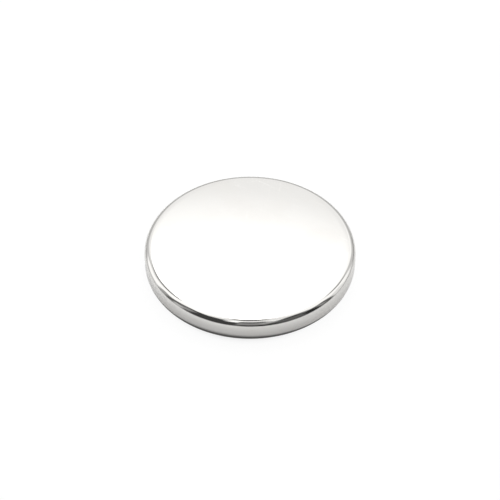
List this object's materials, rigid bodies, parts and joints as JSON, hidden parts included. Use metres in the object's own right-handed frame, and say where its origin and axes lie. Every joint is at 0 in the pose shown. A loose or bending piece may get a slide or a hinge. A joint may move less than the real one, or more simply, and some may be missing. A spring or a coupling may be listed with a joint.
{
  "type": "disc magnet",
  "caption": "Flat round permanent magnet with mirror-bright nickel plating, parallel pole faces and rounded edges, used to hold, latch or sense.",
  "frame": {"origin": "centre of the lower pole face, on the disc's axis", "axes": "+Z along the disc's axis, from the lower pole face to the upper one; X and Y lie in the lower pole face and are interchangeable"},
  "size_m": [0.025, 0.025, 0.003],
  "materials": {
    "nickel_plating": "mirror-bright nickel plating over a ground and tumbled sintered blank"
  },
  "bodies": {
    "root": {"magnet_disc": "nickel_plating"}
  },
  "joints": []
}
